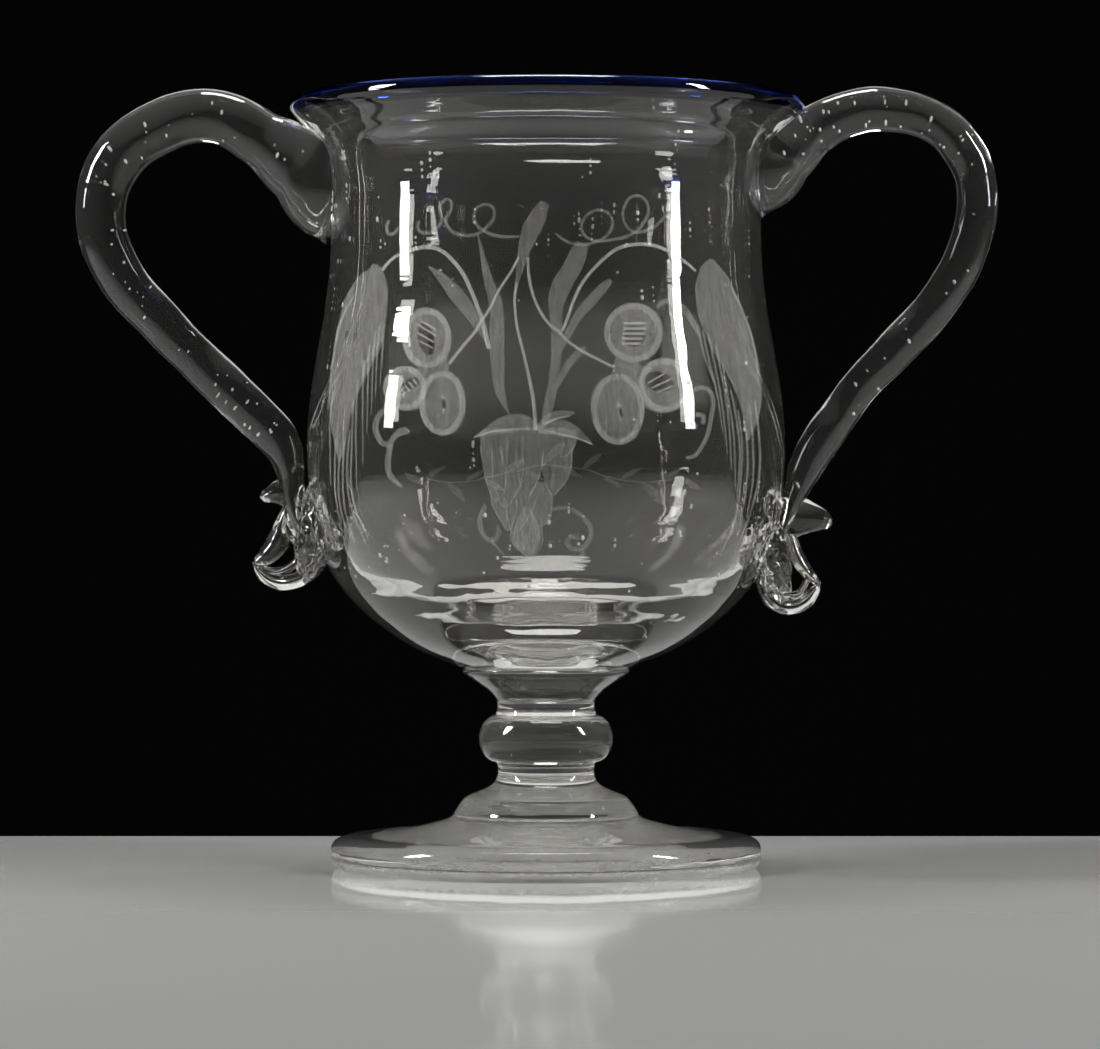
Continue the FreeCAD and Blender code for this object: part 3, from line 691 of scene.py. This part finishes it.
def cuts(name, strokes, closed=False, fineness=6, roundness=2):
    """Draws a group of cuts on the sheet, each a round stroke of changing width."""
    pick_only(None)
    bpy.ops.curve.primitive_bezier_curve_add(radius=mm, location=(0, 0, 0))
    group = bpy.context.object
    group.name = name
    group.data.dimensions = "3D"
    group.data.bevel_depth = mm * sheet_scale / 2
    group.data.bevel_resolution = roundness
    group.data.resolution_u = fineness
    group.data.twist_mode = "MINIMUM"
    group.data.splines.clear()
    for stroke in strokes:
        spline = group.data.splines.new("BEZIER")
        spline.use_cyclic_u = closed
        spline.bezier_points.add(len(stroke) - 1)
        for knot, (x, y, width) in zip(spline.bezier_points, stroke):
            across = (x - photo_middle[0]) * sheet_scale
            height = camera_place[2] + (photo_middle[1] - y) * sheet_scale
            knot.co = (across * mm, 0, height * mm)
            knot.radius = width
            knot.handle_left_type = "AUTO"
            knot.handle_right_type = "AUTO"
    bpy.ops.object.convert(target="MESH")
    close_rings(bpy.context.object)
    return bpy.context.object


def merged(parts):
    """One ground area from parts that overlap, so that no place in it is denser."""
    first, *others = parts
    for other in others:
        fuse(first, other)
    close_rings(first)
    return first


def press_on_bowl(piece, viewpoint, sheet_place):
    """Lays a drawn sheet on the bowl's outside, half of its thin skin proud of the glass."""
    eye = Vector(viewpoint) * mm
    for vertex in piece.data.vertices:
        depth = max(-skin, min(skin, -vertex.co.y / mm * flattening))
        target = Vector((vertex.co.x, sheet_place * mm, vertex.co.z))
        hit, place, normal, face = bowl_measure.ray_cast(eye, (target - eye).normalized())
        vertex.co = place + normal * depth * mm


def ground_glass(piece, finish):
    piece.data.materials.clear()
    piece.data.materials.append(matt_finishes[finish])
    face_outwards(piece)
    fire_polish(piece, 60)
    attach(piece, "root")


def oval_place(oval, angle):
    """A place on a (x, y, half width, half height, turn in degrees) oval."""
    x, y, half_width, half_height, turn = oval
    across = half_width * math.cos(angle)
    down = half_height * math.sin(angle)
    turn = math.radians(turn)
    return Vector((x + across * math.cos(turn) - down * math.sin(turn),
                   y + across * math.sin(turn) + down * math.cos(turn)))


def edges_of(stroke):
    """The outline of a pointed cut: down its left side to the tip and up its right side."""
    left = [(x - width / 2, y, edge_width) for x, y, width in stroke]
    right = [(x + width / 2, y, edge_width) for x, y, width in stroke]
    return left[1:] + right[-2:0:-1]


wheel_grain = bpy.data.node_groups.new("wheel_grain", "ShaderNodeTree")
wheel_grain.interface.new_socket("Faintest", in_out="INPUT", socket_type="NodeSocketFloat")
wheel_grain.interface.new_socket("Densest", in_out="INPUT", socket_type="NodeSocketFloat")
wheel_grain.interface.new_socket("Cover", in_out="OUTPUT", socket_type="NodeSocketFloat")
wheel_grain.interface.new_socket("Height", in_out="OUTPUT", socket_type="NodeSocketFloat")
nodes, links = wheel_grain.nodes, wheel_grain.links
grain_in = nodes.new("NodeGroupInput")
grain_out = nodes.new("NodeGroupOutput")
place = nodes.new("ShaderNodeTexCoord")
streak_size = nodes.new("ShaderNodeMapping")
streak_size.inputs["Scale"].default_value = (1500, 1500, 200)
streaks = nodes.new("ShaderNodeTexNoise")
streaks.inputs["Scale"].default_value = 1.0
streaks.inputs["Detail"].default_value = 2.0
cover = nodes.new("ShaderNodeMapRange")
cover.inputs["From Min"].default_value = 0.3
cover.inputs["From Max"].default_value = 0.7
links.new(place.outputs["Object"], streak_size.inputs["Vector"])
links.new(streak_size.outputs["Vector"], streaks.inputs["Vector"])
links.new(streaks.outputs["Fac"], cover.inputs["Value"])
links.new(grain_in.outputs["Faintest"], cover.inputs["To Min"])
links.new(grain_in.outputs["Densest"], cover.inputs["To Max"])
links.new(cover.outputs["Result"], grain_out.inputs["Cover"])
links.new(streaks.outputs["Fac"], grain_out.inputs["Height"])

matt_finishes = {}
finishes = (("ground_matt", 0.05, 0.12), ("ground_shade", 0.05, 0.15), ("ground_edge", 0.14, 0.3))
for name, faintest, densest in finishes:
    material, nodes, links, shader = new_material(name)
    grain = nodes.new("ShaderNodeGroup")
    grain.node_tree = wheel_grain
    grain.inputs["Faintest"].default_value = faintest
    grain.inputs["Densest"].default_value = densest
    bump = nodes.new("ShaderNodeBump")
    bump.inputs["Strength"].default_value = 0.6
    bump.inputs["Distance"].default_value = 0.00005
    links.new(grain.outputs["Cover"], shader.inputs["Alpha"])
    links.new(grain.outputs["Height"], bump.inputs["Height"])
    links.new(bump.outputs["Normal"], shader.inputs["Normal"])
    shader.inputs["Base Color"].default_value = (0.8, 0.8, 0.76, 1)
    shader.inputs["Roughness"].default_value = 0.7
    matt_finishes[name] = material

cut_groups["cone_edges"] = [edges_of(scale) for scale in cut_groups["hop_cone"]]
deep_cuts = ("fine_cuts", "barley_stems")
shaded_cuts = ("cone_edges", "cone_tip")
for name, strokes in cut_groups.items():
    if name in ("hop_cone", "barley_leaves"):
        group = merged([cuts(name, [stroke], roundness=6) for stroke in strokes])
    else:
        narrow = name in ("awns", "scrolls", "cone_edges", *deep_cuts)
        group = cuts(name, strokes, roundness=2 if narrow else 6)
    press_on_bowl(group, camera_place, sheet_y)
    finish = "ground_edge" if name in deep_cuts else "ground_matt"
    ground_glass(group, "ground_shade" if name in shaded_cuts else finish)

for name, lobes in lobe_shapes.items():
    parts = []
    rims = []
    for outer, window in lobes:
        ring = []
        for step in range(lobe_steps):
            angle = math.tau * step / lobe_steps
            far = oval_place((*outer, 0), angle)
            near = oval_place(window, angle)
            middle = (far + near) / 2
            ring.append((middle.x, middle.y, (far - near).length))
        parts.append(cuts(name, [ring], closed=True, fineness=3, roundness=5))
        x, y, half_width, half_height = outer
        rim = (x, y, half_width - rim_inset, half_height - rim_inset, 0)
        rims.append([
            (*oval_place(rim, math.tau * step / lobe_steps), rim_width) for step in range(lobe_steps)])
    parts.append(cuts(name + "_bridge", lobe_bridges[name], roundness=5))
    trefoil = merged(parts)
    press_on_bowl(trefoil, camera_place, sheet_y)
    ground_glass(trefoil, "ground_matt")
    rims = cuts(name + "_rims", rims, closed=True, fineness=3, roundness=3)
    press_on_bowl(rims, camera_place, sheet_y)
    ground_glass(rims, "ground_shade")

# The far side carries a plain garland of leaves, seen faintly through the glass.
garland_start = (388, 470)
garland_length = 310
garland_sway = 16
garland_steps = 15
garland_stem = []
garland_leaves = []
for step in range(garland_steps):
    share = step / (garland_steps - 1)
    x = garland_start[0] + garland_length * share
    y = garland_start[1] + garland_sway * math.sin(share * 9)
    garland_stem.append((x, y, 2.6))
    lean = 1 if step % 2 else -1
    garland_leaves.append([
        (x, y, 2), (x + 7, y - 9 * lean, 9), (x + 15, y - 17 * lean, 8), (x + 22, y - 23 * lean, 1.5)])
garland = cuts("garland", [garland_stem] + garland_leaves)
press_on_bowl(garland, (camera_place[0], -camera_place[1], camera_place[2]), -sheet_y)
ground_glass(garland, "ground_matt")

# Seeds: small air bubbles that were caught in the glass of the wall and the handles.
# Each is a hollow in the glass, drawn out a little by the blowing or by the pulling of the rod.
air_with_painted_glint, nodes, links, shader = new_material("air_with_painted_glint")
# The white base colour with only part transmission makes each bubble partly matt white: a painted glint that
# shows every seed as a bright speck.
shader.inputs["Base Color"].default_value = (1, 1, 0.98, 1)
shader.inputs["Transmission Weight"].default_value = 0.45
shader.inputs["Roughness"].default_value = 0.0
shader.inputs["IOR"].default_value = 0.667


def seeds(name, places):
    """Bubbles at (x, y, z, radius, length) places in millimetres, joined to one piece."""
    bubbles = []
    for x, y, z, radius, length in places:
        pick_only(None)
        bpy.ops.mesh.primitive_uv_sphere_add(
            segments=8, ring_count=6, radius=radius * mm, location=(x * mm, y * mm, z * mm))
        bubble = bpy.context.object
        bubble.scale.z = length / radius
        bubbles.append(bubble)
    for bubble in bubbles:
        bubble.select_set(True)
    bpy.ops.object.join()
    bpy.ops.object.transform_apply(location=True, rotation=True, scale=True)
    piece = bpy.context.object
    piece.name = name
    piece.data.materials.append(air_with_painted_glint)
    fire_polish(piece, 180)
    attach(piece, "root")


chance = random.Random(7)
wall_bands = ((156, 188, 52), (98, 156, 40), (70, 94, 76))
trail_step = 1.7
rod_seeds = 60
wall_places = []
for band_low, band_high, trails in wall_bands:
    for step in range(trails):
        turn = chance.uniform(0, math.tau)
        top = chance.uniform(band_low, band_high)
        for rank in range(chance.choice((1, 1, 2, 3, 4) if top > 98 else (1, 1, 2))):
            height = top - rank * trail_step
            depth = 1.4 if height > 90 else chance.uniform(1.4, 3.5)
            reach = wall_radius(height * mm) / mm - depth
            radius = chance.choice((0.14, 0.2, 0.26, 0.34, 0.46))
            length = radius * chance.uniform(1, 1.6)
            wall_places.append((reach * math.cos(turn), reach * math.sin(turn), height, radius, length))
seeds("wall_seeds", wall_places)
for hand, points in rod_points.items():
    rod_places = []
    for step in range(rod_seeds):
        first = chance.randint(2, 12)
        share = chance.random()
        x, height, thickness, width = [
            low + share * (high - low) for low, high in zip(points[first], points[first + 1])]
        reach = thickness * 0.36
        radius = chance.choice((0.12, 0.18, 0.24, 0.34))
        side_step = chance.uniform(-reach, reach) * 0.7
        rise = chance.uniform(-reach, reach) * 0.7
        deep = chance.uniform(-reach, reach)
        rod_places.append((x + side_step, deep, height + rise, radius, radius * chance.uniform(1, 1.6)))
    seeds(hand + "_handle_seeds", rod_places)

# Air line: a thin ring of air, shut in where the bowl was set down on its collar.
pick_only(None)
bpy.ops.mesh.primitive_torus_add(
    major_segments=128, minor_segments=10, major_radius=21.2 * mm, minor_radius=0.2 * mm,
    location=(0, 0, 53 * mm))
air_line = bpy.context.object
air_line.name = "joint_air_line"
bpy.ops.object.transform_apply(location=True, rotation=True, scale=True)
# Its air material is partly matt white, a painted glint on this ring too.
air_line.data.materials.append(air_with_painted_glint)
fire_polish(air_line, 180)
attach(air_line, "root")
bpy.data.objects.remove(bowl_measure)

# Stage: a plain pale tabletop that ends behind the cup, and a plain darker wall behind it.
pick_only(None)
bpy.ops.mesh.primitive_plane_add(size=1, location=(0, -0.435, 0))
floor = bpy.context.object
floor.name = "floor"
floor.scale = (3, 1.13, 1)
bpy.ops.object.transform_apply(location=True, rotation=True, scale=True)
pale_table, nodes, links, shader = new_material("pale_table")
shader.inputs["Base Color"].default_value = (0.6, 0.6, 0.59, 1)
shader.inputs["Roughness"].default_value = 0.06
floor.data.materials.append(pale_table)
floor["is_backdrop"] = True

bpy.ops.mesh.primitive_plane_add(size=1, location=(0, 1.6, 0.5), rotation=(math.pi / 2, 0, 0))
backdrop = bpy.context.object
backdrop.name = "backdrop"
backdrop.scale = (6, 3, 1)
bpy.ops.object.transform_apply(location=True, rotation=True, scale=True)
dark_wall, nodes, links, shader = new_material("dark_wall")
shader.inputs["Base Color"].default_value = (0.004, 0.004, 0.0045, 1)
shader.inputs["Roughness"].default_value = 0.9
shader.inputs["Specular IOR Level"].default_value = 0.0
backdrop.data.materials.append(dark_wall)
backdrop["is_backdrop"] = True

# Light: a soft box and a small low one at each side and a wide one above, as for studio glass.
world = bpy.data.worlds.new("studio")
bpy.context.scene.world = world
world.use_nodes = True
world.node_tree.nodes["Background"].inputs["Color"].default_value = (0.5, 0.5, 0.5, 1)
world.node_tree.nodes["Background"].inputs["Strength"].default_value = 0.08
lamps = [
    ("left_box", (-0.75, -0.16, 0.5), (0.14, 0.26), 8.5),
    ("right_box", (0.75, -0.264, 0.5), (0.07, 0.34), 7),
    ("left_low_box", (-0.75, -0.16, 0.26), (0.08, 0.12), 0.8),
    ("right_low_box", (0.75, -0.264, 0.26), (0.08, 0.12), 0.8),
    ("top_box", (0, 0.2, 0.9), (0.3, 0.2), 3.5),
]
for name, place, size, power in lamps:
    bpy.ops.object.light_add(type="AREA", location=place)
    lamp = bpy.context.object
    lamp.name = name
    lamp.data.shape = "RECTANGLE"
    lamp.data.size, lamp.data.size_y = size
    lamp.data.energy = power
    lamp.rotation_euler = (Vector((0, 0, 0.1)) - Vector(place)).to_track_quat("-Z", "Y").to_euler()

# Camera: level with the cup, a little over a metre away, as in the photograph.
bpy.ops.object.camera_add(location=[value * mm for value in camera_place])
camera = bpy.context.object
camera_aim = Vector((0, 1228, 3.25))
camera.rotation_euler = camera_aim.to_track_quat("-Z", "Y").to_euler()
camera.data.lens = 154.6
bpy.context.scene.camera = camera
bpy.context.scene.view_settings.view_transform = "Standard"
bpy.context.scene.cycles.max_bounces = 24
bpy.context.scene.cycles.transmission_bounces = 24
bpy.context.scene.cycles.transparent_max_bounces = 64

visual_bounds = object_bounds()
boxes = {"cad": cad_bounds, "visual": visual_bounds}
boxes = {name: [list(corner) for corner in corners] for name, corners in boxes.items()}
